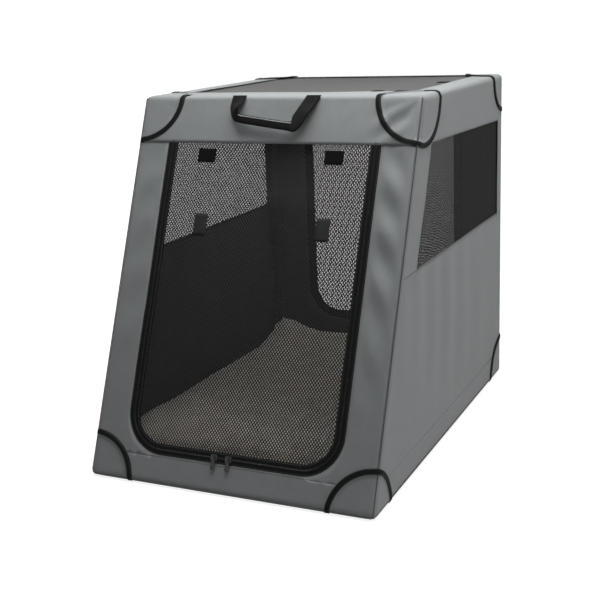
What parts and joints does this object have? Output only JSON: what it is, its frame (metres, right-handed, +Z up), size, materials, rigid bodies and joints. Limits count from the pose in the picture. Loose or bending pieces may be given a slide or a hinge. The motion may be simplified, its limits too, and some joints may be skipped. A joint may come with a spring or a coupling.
{
  "type": "soft folding dog crate",
  "caption": "Soft-sided folding dog crate with a slanted front, zipped net doors front and back, net windows and roof, a plush floor mat and a carrying handle over a knee-jointed tube frame.",
  "frame": {"origin": "on the floor, in the middle of the underside", "axes": "+Z up; -Y out of the slanted front, so +Y runs to the back; +X to the right as seen from the front"},
  "size_m": [0.5134, 0.7554, 0.6117],
  "materials": {
    "grey_cloth": "coarse plain-weave polyester, matt grey outside, black lining",
    "black_cloth": "black binding tape and webbing, matt",
    "black_net": "black polyester net with small diamond gaps",
    "fleece": "short plush, pale beige grey",
    "black_tube": "black powder coat",
    "black_plastic": "moulded, matt black",
    "grey_plastic": "moulded, matt dark grey",
    "dark_metal": "black enamelled die casting"
  },
  "bodies": {
    "base": {"bottom_panel": "black_cloth", "floor_mat": "fleece", "base_frame": "black_tube", "front_panel": "grey_cloth", "back_panel": "grey_cloth", "left_panel": "grey_cloth", "right_panel": "grey_cloth", "left_window_net": "black_net", "right_window_net": "black_net", "front_zip_tape": "black_cloth", "base_front_guard_left": "black_cloth", "base_front_guard_right": "black_cloth", "base_rear_guard_left": "black_cloth", "base_rear_guard_right": "black_cloth", "front_base_bracket_left": "black_plastic", "front_base_bracket_right": "black_plastic", "rear_base_bracket_left": "black_plastic", "rear_base_bracket_right": "black_plastic"},
    "roof": {"roof_border": "grey_cloth", "roof_net": "black_net", "roof_frame": "black_tube", "roof_front_guard_left": "black_cloth", "roof_front_guard_right": "black_cloth", "roof_rear_guard_left": "black_cloth", "roof_rear_guard_right": "black_cloth", "front_roof_bracket_left": "black_plastic", "front_roof_bracket_right": "black_plastic", "rear_roof_bracket_left": "black_plastic", "rear_roof_bracket_right": "black_plastic"},
    "rear_lower": {"rear_leg_lower_left": "black_tube", "rear_leg_lower_right": "black_tube", "rear_knee_fork_left": "black_plastic", "rear_knee_fork_right": "black_plastic"},
    "rear_upper": {"rear_leg_upper_left": "black_tube", "rear_leg_upper_right": "black_tube", "rear_knee_tongue_left": "black_plastic", "rear_knee_tongue_right": "black_plastic"},
    "front_lower": {"front_leg_lower_left": "black_tube", "front_leg_lower_right": "black_tube", "front_knee_fork_left": "black_plastic", "front_knee_fork_right": "black_plastic"},
    "front_upper": {"front_leg_upper_left": "black_tube", "front_leg_upper_right": "black_tube", "front_knee_tongue_left": "black_plastic", "front_knee_tongue_right": "black_plastic"},
    "front_door": {"front_door_net": "black_net", "front_door_edge": "black_cloth"},
    "back_door": {"back_door_net": "black_net", "back_door_edge": "black_cloth"},
    "handle": {"handle_strap": "black_cloth"},
    "front_slider_left": {"front_zip_slider_left": "dark_metal"},
    "front_slider_right": {"front_zip_slider_right": "dark_metal"},
    "back_slider": {"back_zip_slider": "dark_metal"},
    "front_pull_left": {"front_zip_pull_left": "dark_metal"},
    "front_pull_right": {"front_zip_pull_right": "dark_metal"},
    "back_pull": {"back_zip_pull": "dark_metal"},
    "front_button_left": {"front_lock_button_left": "grey_plastic"},
    "front_button_right": {"front_lock_button_right": "grey_plastic"},
    "rear_button_left": {"rear_lock_button_left": "grey_plastic"},
    "rear_button_right": {"rear_lock_button_right": "grey_plastic"}
  },
  "joints": [
    {"name": "fold", "type": "hinge", "parent": "base", "child": "rear_lower", "pos_m": [0, 0.3546, 0.045], "axis": [1, 0, 0], "range_deg": [0, 83], "deforming": ["front_panel", "back_panel", "left_panel", "right_panel", "left_window_net", "right_window_net", "front_zip_tape", "base_front_guard_left", "base_front_guard_right", "base_rear_guard_left", "base_rear_guard_right", "roof_front_guard_left", "roof_front_guard_right", "roof_rear_guard_left", "roof_rear_guard_right", "front_door_net", "front_door_edge", "back_door_net", "back_door_edge"]},
    {"name": "rear_knee", "type": "hinge", "parent": "rear_lower", "child": "rear_upper", "pos_m": [0, 0.3654, 0.305], "axis": [1, 0, 0], "range_deg": [-166, 0]},
    {"name": "roof_fold", "type": "hinge", "parent": "rear_upper", "child": "roof", "pos_m": [0, 0.3546, 0.565], "axis": [1, 0, 0], "range_deg": [0, 83]},
    {"name": "front_fold", "type": "hinge", "parent": "base", "child": "front_lower", "pos_m": [0, -0.33347, 0.045], "axis": [1, 0, 0], "range_deg": [-60.75, 0]},
    {"name": "front_knee", "type": "hinge", "parent": "front_lower", "child": "front_upper", "pos_m": [0, -0.18681, 0.4116], "axis": [1, 0, 0], "range_deg": [0, 166]},
    {"name": "front_door_swing", "type": "hinge", "parent": "roof", "child": "front_door", "pos_m": [0, -0.14457, 0.53649], "axis": [1, 0, 0], "range_deg": [-150, 0]},
    {"name": "back_door_swing", "type": "hinge", "parent": "roof", "child": "back_door", "pos_m": [0, 0.375, 0.53], "axis": [-1, 0, 0], "range_deg": [-150, 0]},
    {"name": "handle_swing", "type": "hinge", "parent": "roof", "child": "handle", "pos_m": [0, -0.11429, 0.61055], "axis": [1, 0, 0], "range_deg": [-157, 0]},
    {"name": "front_slider_left_run", "type": "slide", "parent": "base", "child": "front_slider_left", "axis": [1, 0, 0], "range_m": [-0.1, 0]},
    {"name": "front_slider_right_run", "type": "slide", "parent": "base", "child": "front_slider_right", "axis": [1, 0, 0], "range_m": [0, 0.124]},
    {"name": "back_slider_run", "type": "slide", "parent": "roof", "child": "back_slider", "axis": [0, 0, 1], "range_m": [-0.36, 0]},
    {"name": "front_pull_left_swing", "type": "hinge", "parent": "front_slider_left", "child": "front_pull_left", "pos_m": [-0.025, -0.35294, 0.05947], "axis": [1, 0, 0], "range_deg": [-175, 0]},
    {"name": "front_pull_right_swing", "type": "hinge", "parent": "front_slider_right", "child": "front_pull_right", "pos_m": [0.001, -0.35294, 0.05947], "axis": [1, 0, 0], "range_deg": [-175, 0]},
    {"name": "back_pull_swing", "type": "hinge", "parent": "back_slider", "child": "back_pull", "pos_m": [-0.16575, 0.3782, 0.5171], "axis": [-1, 0, 0], "range_deg": [-175, 0]},
    {"name": "front_button_left_press", "type": "slide", "parent": "front_lower", "child": "front_button_left", "axis": [-1, 0, 0], "range_m": [0, 0.0025], "stiffness_N_per_m": 300},
    {"name": "front_button_right_press", "type": "slide", "parent": "front_lower", "child": "front_button_right", "axis": [1, 0, 0], "range_m": [0, 0.0025], "stiffness_N_per_m": 300},
    {"name": "rear_button_left_press", "type": "slide", "parent": "rear_lower", "child": "rear_button_left", "axis": [-1, 0, 0], "range_m": [0, 0.0025], "stiffness_N_per_m": 300},
    {"name": "rear_button_right_press", "type": "slide", "parent": "rear_lower", "child": "rear_button_right", "axis": [1, 0, 0], "range_m": [0, 0.0025], "stiffness_N_per_m": 300}
  ],
  "couplings": [
    {"joint": "rear_knee", "follows": "fold", "ratio": -2},
    {"joint": "roof_fold", "follows": "fold", "ratio": 1},
    {"joint": "front_fold", "follows": "fold", "ratio": -0.73192},
    {"joint": "front_knee", "follows": "fold", "ratio": 2}
  ]
}
